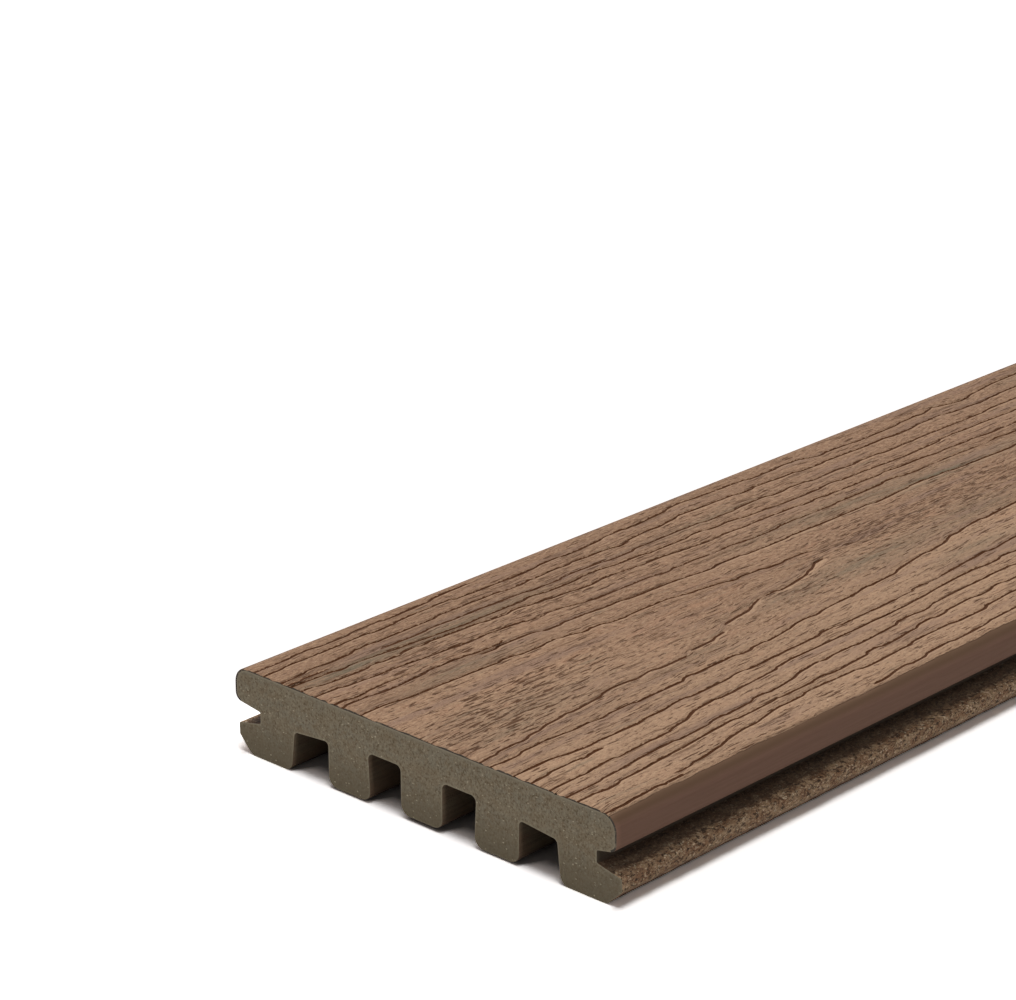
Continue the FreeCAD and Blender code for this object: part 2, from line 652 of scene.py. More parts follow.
class NodeBench:
    """A workbench for one node tree."""

    def __init__(self, tree: bpy.types.NodeTree) -> None:
        """Takes the node tree of a material or the world."""
        self.tree = tree

    def plug(self, source: Paint | float, target: Socket) -> None:
        """Links a socket, or sets a plain value, on a target socket.

        Args:
            source: The socket, number or colour.
            target: The socket that takes it.
        """
        if isinstance(source, Socket):
            self.tree.links.new(source, target)
        elif isinstance(source, tuple) and len(target.default_value) == 4:
            target.default_value = (*source, 1.0)
        else:
            target.default_value = source

    def add(
        self, kind: str, inputs: dict[str | int, Paint | float], **settings: str
    ) -> bpy.types.Node:
        """Adds a node.

        Args:
            kind: Its type, without the words ShaderNode in front.
            inputs: What goes into its inputs, by name or number.
            settings: Its other settings.

        Returns:
            The node.
        """
        node = self.tree.nodes.new("ShaderNode" + kind)
        for name, value in settings.items():
            setattr(node, name, value)
        for name, source in inputs.items():
            self.plug(source, node.inputs[name])
        return node

    def coordinates(self, scale: tuple[float, ...], shift: float = 0.0) -> Socket:
        """Gives coordinates in millimetres, scaled.

        Args:
            scale: Two numbers for the grain map, or three for the board's own axes.
            shift: A number that sets these coordinates apart from others.

        Returns:
            The coordinates.
        """
        if len(scale) == 2:
            source = self.add("UVMap", {}, uv_map=GRAIN_MAP).outputs["UV"]
            sizes = (scale[0] * UV_MM, scale[1] * UV_MM, 1.0)
        else:
            source = self.add("TexCoord", {}).outputs["Object"]
            sizes = (scale[0] / MM, scale[1] / MM, scale[2] / MM)
        place = (shift, 1.7 * shift, 2.3 * shift)
        mapping = self.add("Mapping", {"Location": place, "Scale": sizes, "Vector": source})
        return mapping.outputs["Vector"]

    def parts(self, vector: Socket) -> tuple[Socket, Socket, Socket]:
        """Splits coordinates into three numbers."""
        split = self.add("SeparateXYZ", {"Vector": vector})
        return split.outputs["X"], split.outputs["Y"], split.outputs["Z"]

    def body_aside(self, board: BoardSection) -> Socket:
        """Gives the distance from the middle of the lower body, in millimetres."""
        x, middle = self.parts(self.coordinates((1.0, 1.0, 1.0)))[0], board.centre_shift
        return self.maths("ABSOLUTE", self.maths("SUBTRACT", x, middle + board.body_shift))

    def seen_ray(self) -> Socket:
        """Tells where the surroundings are seen.

        Returns:
            1 for the camera's rays and those off a mirror or through glass, and else 0.
        """
        rays = self.add("LightPath", {}).outputs
        indirect = self.maths("MAXIMUM", rays["Is Glossy Ray"], rays["Is Transmission Ray"])
        return self.maths("MAXIMUM", rays["Is Camera Ray"], indirect)

    def attribute(self, name: str) -> Socket:
        """Gives one of the mesh's own numbers."""
        return self.add("Attribute", {}, attribute_name=name).outputs["Fac"]

    def noise(self, pattern: Pattern) -> Socket:
        """Gives a pattern's noise.

        Args:
            pattern: The pattern.

        Returns:
            The noise, 0 to 1.
        """
        inputs = {
            "Vector": self.coordinates(pattern.scale),
            "W": pattern.seed,
            "Scale": 1.0,
            "Detail": pattern.octaves,
            "Roughness": pattern.rough,
            "Distortion": pattern.bend,
        }
        return self.add("TexNoise", inputs, noise_dimensions="4D").outputs["Fac"]

    def cells(self, where: Socket, dimensions: str) -> tuple[Socket, Socket, Socket, Socket]:
        """Scatters cells.

        Args:
            where: The scaled coordinates.
            dimensions: 2D or 3D.

        Returns:
            The distance to a cell's middle, and three random numbers of its own.
        """
        inputs = {"Vector": where, "Scale": 1.0, "Randomness": 1.0}
        node = self.add("TexVoronoi", inputs, voronoi_dimensions=dimensions, feature="F1")
        split = self.add("SeparateColor", {"Color": node.outputs["Color"]}).outputs
        return node.outputs["Distance"], split["Red"], split["Green"], split["Blue"]

    def maths(self, operation: str, *values: Number) -> Socket:
        """Works out one sum on numbers."""
        return self.add("Math", dict(enumerate(values)), operation=operation).outputs["Value"]

    def times(self, first: Number, second: Number) -> Socket:
        """Multiplies two numbers."""
        return self.maths("MULTIPLY", first, second)

    def scaled(self, value: Number, factor: Number, plus: Number) -> Socket:
        """Multiplies a number by a factor, then adds another."""
        return self.maths("MULTIPLY_ADD", value, factor, plus)

    def band(
        self, value: Number, low: Number, high: Number, start: float = 0.0, end: float = 1.0
    ) -> Socket:
        """Maps low to start and high to end, smoothly, and holds them beyond.

        Args:
            value: The number to map.
            low: Where it is start.
            high: Where it is end.
            start: The result at low.
            end: The result at high.

        Returns:
            The result.
        """
        inputs = {"Value": value, "From Min": low, "From Max": high, "To Min": start, "To Max": end}
        return self.add("MapRange", inputs, interpolation_type="SMOOTHSTEP").outputs["Result"]

    def blend(self, share: Number, first: Paint, second: Paint) -> Socket:
        """Blends two colours."""
        return self.add("Mix", {0: share, 6: first, 7: second}, data_type="RGBA").outputs[2]

    def stained(self, colour: Paint, *stains: tuple[Socket, float, float, float, Triple]) -> Paint:
        """Lays stains over a colour, one after another.

        Args:
            colour: The colour beneath.
            stains: For each, a number that varies over the surface, its values where the
                stain begins and where it is full, how strong that is, and the stain's colour.

        Returns:
            The stained colour.
        """
        for where, low, high, most, tint in stains:
            colour = self.blend(self.band(where, low, high, 0.0, most), colour, tint)
        return colour

    def moved(self, where: Socket, across: Number, along: Number) -> Socket:
        """Moves coordinates by two numbers."""
        offset = self.add("CombineXYZ", {"X": across, "Y": along}).outputs["Vector"]
        return self.add("VectorMath", {0: where, 1: offset}, operation="ADD").outputs[0]


class MaterialBench(NodeBench):
    """A workbench for one material's nodes, with a principled shader ready."""

    def __init__(self, name: str) -> None:
        """Starts an empty material.

        Args:
            name: The material's name.
        """
        self.material = bpy.data.materials.new(name)
        self.material.use_nodes = True
        super().__init__(self.material.node_tree)
        self.tree.nodes.clear()
        self.shader = self.add("BsdfPrincipled", {})
        self.output = self.add("OutputMaterial", {"Surface": self.shader.outputs["BSDF"]})

    def matte(self, shade: Socket) -> Socket:
        """Gives a plain matte shader."""
        return self.add("BsdfDiffuse", {"Color": shade}).outputs["BSDF"]

    def bumped(self, height: Socket, depth: float) -> None:
        """Sets the shader's relief from a height, with the depth in millimetres."""
        node = self.add("Bump", {"Strength": 1.0, "Distance": depth * MM, "Height": height})
        self.plug(node.outputs["Normal"], self.shader.inputs["Normal"])

    def finish(self, colour: Paint, roughness: Number, gloss: float) -> Material:
        """Sets the shader's looks.

        Args:
            colour: Its colour.
            roughness: Its roughness.
            gloss: Its specular level.

        Returns:
            The material.
        """
        self.plug(colour, self.shader.inputs["Base Color"])
        self.plug(roughness, self.shader.inputs["Roughness"])
        self.plug(gloss, self.shader.inputs["Specular IOR Level"])
        return self.material

    def chipped(self, colour: Paint, chips: Chips, tint: Triple) -> tuple[Socket, Socket]:
        """Scatters small pale chips.

        Args:
            colour: The colour beneath.
            chips: The chips.
            tint: Their colour.

        Returns:
            The colour with the chips, and 1 in a chip and 0 outside.
        """
        sway = self.noise(Pattern(CHIP_SWAY, 2.0, 0.5, chips.seed))
        scale = (chips.cells, chips.cells, chips.cells * chips.flatness)
        grid = self.coordinates(scale, chips.seed)
        distance, chance, spread, warm = self.cells(self.moved(grid, sway, sway), "3D")
        radius = self.scaled(spread, chips.size, chips.size * chips.least_size)
        chip = self.band(distance, self.times(radius, chips.core), radius, 1.0, 0.0)
        chip = self.times(chip, self.maths("LESS_THAN", chance, chips.share))
        shown = self.times(chip, self.scaled(warm, chips.spread, chips.least))
        return self.blend(shown, colour, tint), chip


@dataclass(frozen=True)
class SkinFinish:
    """Embossed brown skin: fibres, short ticks, grey weathered streaks."""

    light: Triple = srgb(186, 154, 125)
    middle: Triple = srgb(160, 128, 102)
    dim: Triple = srgb(146, 115, 91)
    dark: Triple = srgb(88, 60, 39)
    blush: Triple = srgb(168, 128, 101)
    grey: Triple = srgb(112, 103, 85)
    mauve: Triple = srgb(140, 113, 96)
    # Dark brown of the grain lines, ticks and scratches; in the groove beds it is partly painted
    # shade
    groove: Triple = srgb(70, 37, 8)
    # Painted shade: a darker brown on the upper part of each top edge's rounding
    edge: Triple = srgb(104, 80, 62)
    side: Triple = srgb(130, 100, 84)
    side_dark: Triple = srgb(124, 95, 79)
    broad: Pattern = Pattern((0.11, 0.011), 3.0, 0.6, 4, 0.3)
    cloud: Pattern = Pattern((0.3, 0.06), 3.0, 0.6, 6)
    fibre: Pattern = Pattern((1.3, 0.045), 4.0, 0.62, 2)
    fine: Pattern = Pattern((4.0, 0.35), 2.0, 0.6, 8)
    pebble: Pattern = Pattern((1.3, 0.45), 3.0, 0.68, 14)
    pits: Pattern = Pattern((1.9, 0.32), 2.0, 0.6, 15)
    strands: Pattern = Pattern((0.7, 0.03), 4.0, 0.65, 21)
    stray: Pattern = Pattern((0.42, 0.035), 3.0, 0.6, 33)
    tint: Pattern = Pattern((0.2, 0.012), 2.0, 0.5, 37)
    ragged: Pattern = Pattern((0.8, 0.12), 3.0, 0.6, 27)
    worn: Pattern = Pattern((0.5, 0.13), 2.0, 0.5, 51)
    frayed: Pattern = Pattern((2.0, 0.55), 2.0, 0.6, 53)
    hairs: Pattern = Pattern((0.55, 0.02), 2.0, 0.5, 61, 0.2)
    broken: Pattern = Pattern((0.5, 0.06), 2.0, 0.5, 67)
    large_nicks: Marks = Marks((1.15, 14.0), 0.12, 0.45, 3.0)
    small_nicks: Marks = Marks((0.9, 9.0), 0.12, 0.5, 8.0)
    nick_size: Point = (0.12, 0.28)
    nick_core: float = 0.65
    nick_lean: float = 0.9
    nick_sway: Point = (0.5, 0.3)
    long_dashes: Marks = Marks((1 / 1.2, 10.0), 0.72, 0.582, 17.0)
    short_dashes: Marks = Marks((1 / 1.9, 1 / 0.19), 0.7, 0.565, 41.0)
    dash_edge: float = 0.035
    dash_bend: float = 0.15
    mark_share: float = 0.85
    scratch_share: float = 0.55
    scratch_width: Point = (0.022, 0.006)
    groove_edge: float = 0.33
    groove_softness: float = 0.16
    fray: Point = (1.2, 2.0)
    # How much noise frays the painted highlight on the groove shoulders
    bank_highlight_fray: float = 0.8
    pebble_height: float = 2.7
    fibre_height: float = 0.4
    rim_start: float = 68.3
    rim_end: float = 68.7
    rim_wear: float = 2.8
    relief: float = 0.32

    def dashes(self, bench: NodeBench, marks: Marks, density: Socket) -> Socket:
        """Scatters uneven dark dashes that run with the grain.

        Args:
            bench: The material's workbench.
            marks: The dashes.
            density: How crowded they are, 0 to 1.

        Returns:
            1 in a dash and 0 outside.
        """
        scale = (1 / marks.size[0], 1 / marks.size[1])
        speckle = bench.noise(Pattern(scale, 1.5, 0.45, marks.seed, self.dash_bend))
        threshold = bench.scaled(density, marks.common - marks.rare, marks.rare)
        return bench.band(speckle, threshold, bench.maths("ADD", threshold, self.dash_edge))

    def nicks(self, bench: NodeBench, marks: Marks, density: Socket) -> Socket:
        """Scatters single slender dark nicks, one to a cell at most.

        Args:
            bench: The material's workbench.
            marks: The nicks.
            density: How crowded they are, 0 to 1.

        Returns:
            1 in a nick and 0 outside.
        """
        wave = bench.noise(Pattern(self.nick_sway, 2.0, 0.6, marks.seed))
        lean = bench.scaled(wave, self.nick_lean, marks.seed)
        grid = bench.coordinates((1 / marks.size[0], 1 / marks.size[1]))
        distance, chance, size, _ = bench.cells(bench.moved(grid, lean, marks.seed), "2D")
        least, most = self.nick_size
        reach = bench.scaled(size, most - least, least)
        spot = bench.band(distance, bench.times(reach, self.nick_core), reach, 1.0, 0.0)
        share = bench.scaled(density, marks.common - marks.rare, marks.rare)
        return bench.times(spot, bench.maths("LESS_THAN", chance, share))

    def base(self, bench: NodeBench, fibre: Socket, pebble: Socket, across: Socket) -> Paint:
        """Mixes the skin's own browns, darker to the left and lighter to the right, with painted
        highlight on the raised pebbly lumps and painted shade in the low ones.

        Args:
            bench: The material's workbench.
            fibre: Long fibres.
            pebble: Short lumps.
            across: Distance across, in millimetres.

        Returns:
            The colour.
        """
        fine, pits = bench.noise(self.fine), bench.noise(self.pits)
        return bench.stained(
            self.dim,
            (bench.noise(self.broad), 0.38, 0.62, 1.0, self.middle),
            (bench.noise(self.cloud), 0.5, 0.68, 0.6, self.blush),
            (across, 5.0, -55.0, 0.9, self.dim),
            (across, 8.0, 27.0, 0.42, self.light),
            (fibre, 0.48, 0.72, 0.5, self.dim),
            (fine, 0.52, 0.68, 0.72, self.light),
            # Painted highlight on the raised pebbly lumps and painted shade in the low ones, from
            # the noise that also raises the bump
            (pebble, 0.52, 0.62, 0.6, self.light),
            (pebble, 0.46, 0.36, 0.5, self.dark),
            (pits, 0.41, 0.34, 0.9, self.dark),
        )

    def weathered(self, bench: NodeBench, colour: Paint) -> Paint:
        """Adds grey and mauve streaks, strongest where the mesh says so.

        Args:
            bench: The material's workbench.
            colour: The colour beneath.

        Returns:
            The weathered colour.
        """
        strands = bench.scaled(bench.band(bench.noise(self.strands), 0.34, 0.64), 0.65, 0.25)
        colour = bench.blend(bench.times(bench.attribute("grey"), strands), colour, self.grey)
        return bench.stained(
            colour,
            (bench.noise(self.stray), 0.58, 0.75, 0.5, self.grey),
            (bench.noise(self.tint), 0.5, 0.68, 0.65, self.mauve),
        )

    def marked(self, bench: NodeBench) -> Socket:
        """Scatters every kind of short mark where the mesh wants them.

        Args:
            bench: The material's workbench.

        Returns:
            1 in a mark and 0 outside.
        """
        density = bench.attribute("ticks")
        marks = self.nicks(bench, self.large_nicks, density)
        marks = bench.maths("MAXIMUM", marks, self.nicks(bench, self.small_nicks, density))
        for dashes in (self.long_dashes, self.short_dashes):
            marks = bench.maths("MAXIMUM", marks, self.dashes(bench, dashes, density))
        return marks

    def scratched(self, bench: NodeBench) -> Socket:
        """Draws thin broken scratches.

        Args:
            bench: The material's workbench.

        Returns:
            1 in a scratch and 0 outside.
        """
        away = bench.maths("ABSOLUTE", bench.maths("SUBTRACT", bench.noise(self.hairs), 0.5))
        broken = bench.band(bench.noise(self.broken), 0.48, 0.56)
        return bench.times(bench.band(away, *self.scratch_width), broken)

    def material(self) -> Material:
        """Makes the material.

        Returns:
            The material.
        """
        bench = MaterialBench("brown_embossed_skin")
        fibre, pebble = bench.noise(self.fibre), bench.noise(self.pebble)
        across = bench.parts(bench.coordinates((1.0, 1.0)))[0]
        aside = bench.maths("ABSOLUTE", across)
        ragged = bench.scaled(bench.noise(self.ragged), self.rim_wear, aside)
        rim = bench.band(ragged, self.rim_start, self.rim_end)
        flat = bench.maths("SUBTRACT", 1.0, rim)
        colour = self.weathered(bench, self.base(bench, fibre, pebble, across))
        marks = bench.times(self.marked(bench), flat)
        scratches = bench.times(self.scratched(bench), bench.times(flat, self.scratch_share))
        frayed = bench.maths("SUBTRACT", bench.noise(self.frayed), 0.5)
        loose = bench.band(across, 5.0, -45.0, *self.fray)
        worn = bench.band(bench.noise(self.worn), 0.32, 0.6, 0.24, 0.0)
        start = bench.maths("ADD", worn, self.groove_edge)
        drawn = bench.scaled(frayed, loose, bench.attribute("groove"))
        bed = bench.band(drawn, start, bench.maths("ADD", start, self.groove_softness))
        # Painted highlight: a pale strip along the right-hand shoulder of each groove
        painted_bank_highlight = bench.scaled(frayed, self.bank_highlight_fray, bench.attribute("painted_bank_highlight"))
        colour = bench.stained(colour, (painted_bank_highlight, 0.6, 0.9, 0.55, self.light))
        # Scratches, ticks and the groove beds take the dark brown; in the beds it is partly the
        # skin's own colour and partly painted shade
        for share in (scratches, bench.times(marks, self.mark_share), bed):
            colour = bench.blend(share, colour, self.groove)
        # The smooth side's colour, with painted shade: darker on the rounding of the top edge
        smooth = bench.stained(
            self.side, (fibre, 0.35, 0.65, 1.0, self.side_dark), (aside, 71.0, 69.0, 1.0, self.edge)
        )
        colour = bench.blend(rim, colour, smooth)
        height = bench.scaled(bench.maths("MAXIMUM", marks, scratches), -1.0, 1.0)
        height = bench.scaled(bench.times(pebble, flat), self.pebble_height, height)
        height = bench.scaled(bench.times(fibre, flat), self.fibre_height, height)
        bench.bumped(height, self.relief)
        return bench.finish(colour, bench.scaled(pebble, 0.2, 0.6), 0.12)


@dataclass(frozen=True)
class CutSkinFinish:
    """The skin's own sawn edge: a thin dark line round the end."""

    dark: Triple = srgb(60, 54, 47)
    light: Triple = srgb(118, 107, 90)
    patch: Pattern = Pattern((0.5, 0.5, 0.9), 3.0, 0.65, 1)
    relief: float = 0.1

    def material(self) -> Material:
        """Makes the material.

        Returns:
            The material.
        """
        bench = MaterialBench("sawn_skin_edge")
        patch = bench.noise(self.patch)
        colour = bench.stained(self.dark, (patch, 0.52, 0.68, 1.0, self.light))
        bench.bumped(patch, self.relief)
        return bench.finish(colour, 0.75, 0.15)


@dataclass(frozen=True)
class SawnCoreFinish:
    """The core's sawn end: dull olive with pale flecks and a painted highlight round its edges."""

    olive: Triple = srgb(121, 110, 90)
    brown: Triple = srgb(112, 98, 77)
    grey: Triple = srgb(118, 110, 93)
    low: Triple = srgb(90, 81, 64)
    fleck: Triple = srgb(206, 194, 166)
    pore: Triple = srgb(82, 70, 52)
    # Pale tone for grit specks, and for the painted highlight round the end face's edges
    rim: Triple = srgb(146, 137, 117)
    broad: Pattern = Pattern((0.1, 0.1, 0.16), 3.0, 0.6, 3)
    patch: Pattern = Pattern((0.5, 0.5, 0.7), 4.0, 0.68, 5)
    grit: Pattern = Pattern((1.6, 1.6, 1.3), 3.0, 0.72, 9)
    small_chips: Chips = Chips(0.95, 0.16, 0.27, 2.0, 0.45, 0.15)
    big_chips: Chips = Chips(0.42, 0.14, 0.16, 7.0, 0.6, 0.2)
    skin_height: float = 24.8
    relief: float = 0.2

    def material(self) -> Material:
        """Makes the material.

        Returns:
            The material.
        """
        bench = MaterialBench("sawn_core")
        patch, grit = bench.noise(self.patch), bench.noise(self.grit)
        height = bench.parts(bench.coordinates((1.0, 1.0, 1.0)))[2]
        colour = bench.stained(
            self.olive,
            (bench.noise(self.broad), 0.36, 0.64, 1.0, self.grey),
            (patch, 0.42, 0.64, 0.85, self.brown),
            (grit, 0.54, 0.64, 0.6, self.rim),
            (grit, 0.48, 0.38, 0.9, self.pore),
            (height, 16.0, 2.0, 0.72, self.low),
        )
        colour, small = bench.chipped(colour, self.small_chips, self.fleck)
        colour, _ = bench.chipped(colour, self.big_chips, self.fleck)
        top = bench.scaled(patch, 1.6, height)
        start, full = self.skin_height - 0.8, self.skin_height + 0.6
        colour = bench.stained(colour, (top, start, full, 0.7, self.grey))
        # Painted highlight: a pale rim along the end face's outline, stronger higher up
        edge = bench.times(bench.attribute("rim"), bench.band(height, 1.0, 12.0, 0.12, 0.62))
        colour = bench.blend(edge, colour, self.rim)
        bench.bumped(bench.scaled(small, 0.5, grit), self.relief)
        return bench.finish(colour, 0.78, 0.2)


@dataclass(frozen=True)
class MouldedCoreFinish:
    """The core's pressed sides and underside: brown, dull, drawn out lengthwise, with painted shade
    from each side groove outward.
    """

    section: BoardSection
    brown: Triple = srgb(90, 72, 55)
    dark: Triple = srgb(64, 50, 37)
    olive: Triple = srgb(90, 79, 62)
    fleck: Triple = srgb(142, 124, 98)
    # Painted shade in the side grooves and past them
    groove_painted_shade: Triple = srgb(38, 29, 21)
    drawn: Pattern = Pattern((0.9, 0.05, 0.9), 4.0, 0.6, 2)
    patch: Pattern = Pattern((0.22, 0.12, 0.22), 3.0, 0.6, 6)
    grit: Pattern = Pattern((2.2, 1.4, 2.2), 3.0, 0.7, 11)
    relief: float = 0.18

    def material(self) -> Material:
        """Makes the material.

        Returns:
            The material.
        """
        bench = MaterialBench("pressed_core")
        drawn, grit = bench.noise(self.drawn), bench.noise(self.grit)
        milled = self.section.groove_half
        colour = bench.stained(
            self.brown,
            (bench.noise(self.patch), 0.38, 0.66, 1.0, self.olive),
            (drawn, 0.4, 0.7, 0.7, self.dark),
            (grit, 0.62, 0.8, 0.5, self.fleck),
            # Painted shade: darker from each side groove's back wall outward
            (bench.body_aside(self.section), milled - 0.5, milled, 0.55, self.groove_painted_shade),
        )
        bench.bumped(bench.scaled(drawn, 0.6, grit), self.relief)
        return bench.finish(colour, 0.75, 0.25)


@dataclass(frozen=True)
class TornLipFinish:
    """The milled lower lips: coarse torn particles with pale chips and dark pits, and painted shade
    darkening them towards the groove.
    """

    section: BoardSection
    brown: Triple = srgb(158, 128, 100)
    dark: Triple = srgb(50, 36, 25)
    tan: Triple = srgb(188, 157, 124)
    chip: Triple = srgb(248, 226, 192)
    rust: Triple = srgb(154, 110, 76)
    patch: Pattern = Pattern((0.3, 0.22, 0.35), 3.0, 0.6, 4)
    clod: Pattern = Pattern((0.75, 0.55, 0.85), 4.0, 0.72, 7, 0.4)
    grit: Pattern = Pattern((2.0, 1.6, 2.0), 3.0, 0.7, 13)
    crumb: Pattern = Pattern((1.3, 0.9, 1.5), 3.0, 0.65, 19, 0.3)
    small_chips: Chips = Chips(1.2, 0.38, 0.24, 5.0, 0.8, 0.1)
    big_chips: Chips = Chips(0.55, 0.3, 0.2, 9.0, 0.7, 0.2)
    relief: float = 0.45

    def material(self) -> Material:
        """Makes the material.

        Returns:
            The material.
        """
        bench = MaterialBench("milled_core")
        patch, clod = bench.noise(self.patch), bench.noise(self.clod)
        grit, crumb = bench.noise(self.grit), bench.noise(self.crumb)
        colour = bench.stained(
            self.brown,
            (patch, 0.36, 0.64, 1.0, self.tan),
            (patch, 0.6, 0.35, 0.5, self.rust),
            (clod, 0.5, 0.38, 0.9, self.dark),
            (crumb, 0.57, 0.64, 0.75, self.chip),
            (crumb, 0.46, 0.38, 0.75, self.dark),
            (grit, 0.47, 0.36, 0.7, self.dark),
        )
        colour, _ = bench.chipped(colour, self.small_chips, self.chip)
        colour, big = bench.chipped(colour, self.big_chips, self.chip)
        # Painted shade: the lip grows darker towards the groove, under the upper lip
        depth = bench.scaled(patch, 4.0, bench.body_aside(self.section))
        colour = bench.stained(colour, (depth, 71.3, 68.1, 0.8, self.dark))
        height = bench.scaled(big, 0.6, bench.scaled(clod, 2.0, grit))
        bench.bumped(height, self.relief)
        return bench.finish(colour, 0.8, 0.2)


@dataclass
class GrainedSkin:
    """The brown skin with its grooves cut into the mesh."""

    section: BoardSection
    grain: Grain
    near_step: float = 2.1
    far_step: float = 7.6
    embossed_to: float = 67.6
    groove_half_width: float = 0.7
    bed_half_width: float = 0.28
    shoulder_drop: float = 0.06
    unevenness: float = 0.2
    kept_unevenness: float = 0.4
    end_wear: float = 0.62
    between: tuple[float, ...] = (0.25, 0.5, 0.75)
    round_steps: int = 5
    side_steps: int = 2
    width_wave: Wave = Wave(0.3, 7, 4.1, 60)
    dent_wave: Wave = Wave(1.0, 14)
    dent_mean: float = 0.5
    dent_spread: Point = (9.0, 7.7)
    bite_mean: float = 0.35
    bite_width: float = 1.4
    bite_seed: float = 5.5
    # Groove strengths over which the painted highlight on the right-hand shoulder comes in
    bank_highlight_edge: Point = (0.3, 0.7)
    tick_seed: float = 3.1
    grey_seed: float = 8.4
    columns: list[Column] = field(default_factory=list)

    def side_places(self, side: int) -> list[float]:
        """Places columns from the embossed part to the skin's lower end.

        Args:
            side: -1 for the left side and 1 for the right one.

        Returns:
            Distances along the skin's outside.
        """
        _, round_end, side_end, lip_end = SkinPath(self.section).lengths(side)
        places = [self.embossed_to]
        counts = (self.round_steps, self.side_steps, self.round_steps)
        for end, count in zip((round_end, side_end, lip_end), counts):
            start = places[-1]
            places += [start + (end - start) * step / count for step in range(1, count + 1)]
        return [side * place for place in places]

    def lay_columns(self) -> None:
        """Lists the mesh's columns from the left lip over the top to the right lip."""
        last = len(self.grain.lines) - 1
        outer, inner = self.groove_half_width, self.bed_half_width
        spots = (Spot.SHOULDER, Spot.BED, Spot.BED, Spot.SHOULDER)
        cut = tuple(zip(spots, (-outer, -inner, inner, outer)))
        self.columns = [Column(Spot.PLAIN, place) for place in reversed(self.side_places(-1))]
        for index in range(last + 2):
            for share in self.between:
                self.columns.append(Column(Spot.PLAIN, 0.0, index - 1, index, share))
            for spot, offset in cut if index <= last else ():
                self.columns.append(Column(spot, 0.0, index, index, 0.0, offset))
        self.columns += [Column(Spot.PLAIN, place) for place in self.side_places(1)]

    def line_place(self, index: int, along: float) -> float:
        """Finds a grain line, or the edge of the embossed part past the last one.

        Args:
            index: The line's number.
            along: Distance from the front end.

        Returns:
            Distance across.
        """
        if index < 0:
            return -self.embossed_to - self.groove_half_width
        if index >= len(self.grain.lines):
            return self.embossed_to + self.groove_half_width
        return self.grain.across(index, along)

    def column_place(self, column: Column, along: float) -> float:
        """Finds a column's place.

        Args:
            column: The column.
            along: Distance from the front end.

        Returns:
            Distance from the middle of the top, along the skin's outside.
        """
        if column.first == column.second:
            if column.first < 0:
                return column.place
            swell = 1 + self.width_wave.value(column.first, along)
            return self.line_place(column.first, along) + column.offset * swell
        start = self.line_place(column.first, along) + self.groove_half_width
        end = self.line_place(column.second, along) - self.groove_half_width
        return start + (end - start) * column.share

    def column_depth(self, column: Column, along: float) -> float:
        """Finds a column's depth below the skin's outside.

        Args:
            column: The column.
            along: Distance from the front end.

        Returns:
            The depth, in millimetres.
        """
        if column.spot is Spot.PLAIN and column.first < 0 and column.second < 0:
            return 0.0
        by_share, by_line = self.dent_spread
        number = column.share * by_share + column.first * by_line
        swell = self.dent_mean + self.dent_wave.value(number, along)
        uneven = self.unevenness * min(1.0, max(0.0, swell))
        if along == 0:
            place = self.column_place(column, 0.0) / self.bite_width
            uneven += self.end_wear * max(0.0, self.bite_mean + wander(place, self.bite_seed))
        if column.spot is Spot.PLAIN:
            return uneven
        strength = self.grain.strength(column.first, along)
        if column.spot is Spot.SHOULDER:
            return self.shoulder_drop * strength + self.kept_unevenness * uneven
        depth = self.grain.lines[column.first].depth * strength
        return max(depth, self.kept_unevenness * uneven)

    def rows(self) -> list[float]:
        """Places the mesh's rows: close together as far as the lines are drawn.

        Returns:
            Distances from the front end.
        """
        steps = int(self.grain.drawn_to / self.near_step)
        near = [step * self.near_step for step in range(steps + 1)]
        left = self.section.length - near[-1]
        count = round(left / self.far_step)
        return near + [near[-1] + left * step / count for step in range(1, count + 1)]

    def build(self, materials: list[Material]) -> Piece:
        """Makes the skin.

        Args:
            materials: The embossed finish and the sawn edge's.

        Returns:
            The piece.
        """
        self.lay_columns()
        rows = self.rows()
        path = SkinPath(self.section)
        mesh = bmesh.new()
        groove, painted_bank_highlight, ticks, grey = (
            mesh.verts.layers.float.new(name) for name in ("groove", "painted_bank_highlight", "ticks", "grey")
        )
        width = len(self.columns)
        bmesh.ops.create_grid(mesh, x_segments=width - 1, y_segments=len(rows) - 1, size=1.0)
        mesh.verts.ensure_lookup_table()
        places = [[self.column_place(column, along) for column in self.columns] for along in rows]
        for row, along in enumerate(rows):
            for number, column in enumerate(self.columns):
                vertex = mesh.verts[row * width + number]
                place = places[row][number]
                across, height = path.point(place, self.column_depth(column, along))
                vertex.co = self.section.placed(across, along, height)
                if column.spot is Spot.BED:
                    vertex[groove] = self.grain.strength(column.first, along)
                # Painted highlight: the right-hand shoulder of each groove carries the pale strip's
                # strength
                if column.spot is Spot.SHOULDER and column.offset > 0:
                    strength = self.grain.strength(column.first, along)
                    vertex[painted_bank_highlight] = smooth_step(*self.bank_highlight_edge, strength)
                vertex[ticks] = self.grain.patchwork(TICK_PATCHES, self.tick_seed, along, place)
                vertex[grey] = self.grain.patchwork(GREY_PATCHES, self.grey_seed, along, place)
        self.map_grain(mesh, rows, places)
        loops = self.close_end(mesh, 0, rows[0])
        loops += self.close_end(mesh, len(rows) - 1, rows[-1])
        bmesh.ops.bridge_loops(mesh, edges=loops)
        open_edges = [edge for edge in mesh.edges if edge.is_boundary]
        bmesh.ops.holes_fill(mesh, edges=open_edges, sides=0)
        bmesh.ops.recalc_face_normals(mesh, faces=mesh.faces)
        for face in mesh.faces:
            face.smooth = face.material_index == 0
        return finished_object("grained_skin", mesh, materials, "cap")

